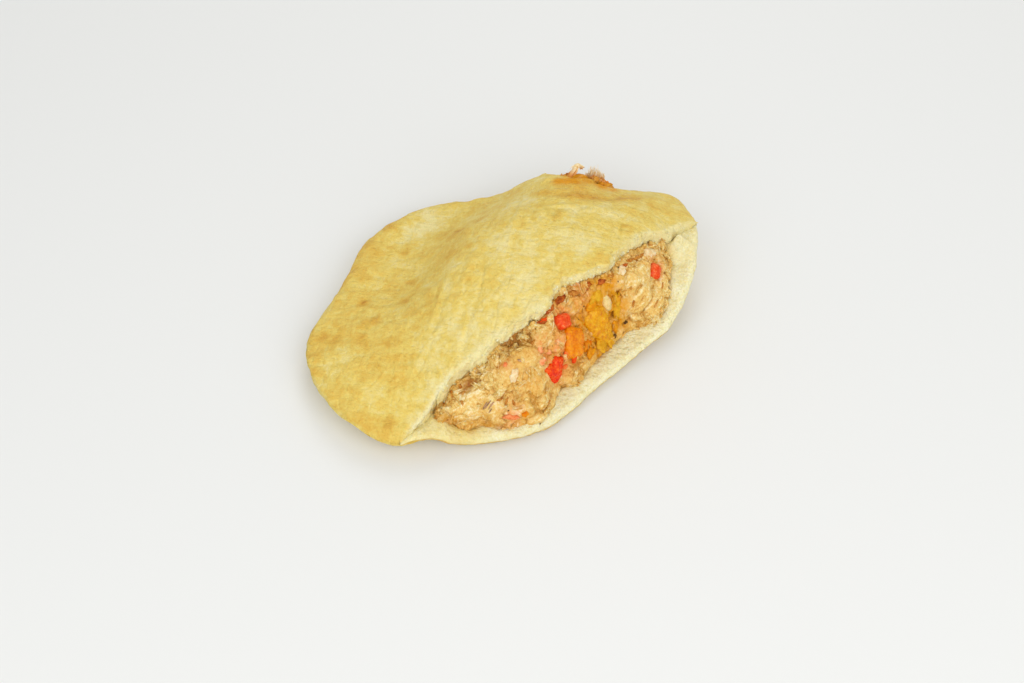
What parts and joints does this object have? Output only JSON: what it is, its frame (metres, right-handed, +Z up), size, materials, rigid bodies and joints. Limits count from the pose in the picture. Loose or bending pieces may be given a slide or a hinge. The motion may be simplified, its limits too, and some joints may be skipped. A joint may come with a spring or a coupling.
{
  "type": "fried bake with saltfish",
  "caption": "Golden fried flatbread, split along one side into a pocket and filled with flaked saltfish and diced sweet pepper; lies flat on its own.",
  "frame": {"origin": "middle of the extent in X and Y, on the surface that the bread lies on", "axes": "+Z up from that surface; the mouth with the filling faces -Y; +X runs along the mouth to the right as seen from the mouth"},
  "size_m": [0.1578, 0.1114, 0.0394],
  "materials": {
    "fried_bread": "fried bread crust, thin oil film",
    "flaked_fish": "moist oily fish flakes",
    "red_pepper": "cooked pepper, oily",
    "orange_pepper": "cooked pepper, oily",
    "yellow_pepper": "cooked pepper, oily"
  },
  "bodies": {
    "root": {"bake": "fried_bread", "saltfish": "flaked_fish", "red_pepper_front": "red_pepper", "red_pepper_middle": "red_pepper", "red_pepper_right": "red_pepper", "orange_pepper": "orange_pepper", "yellow_pepper": "yellow_pepper"}
  },
  "joints": []
}
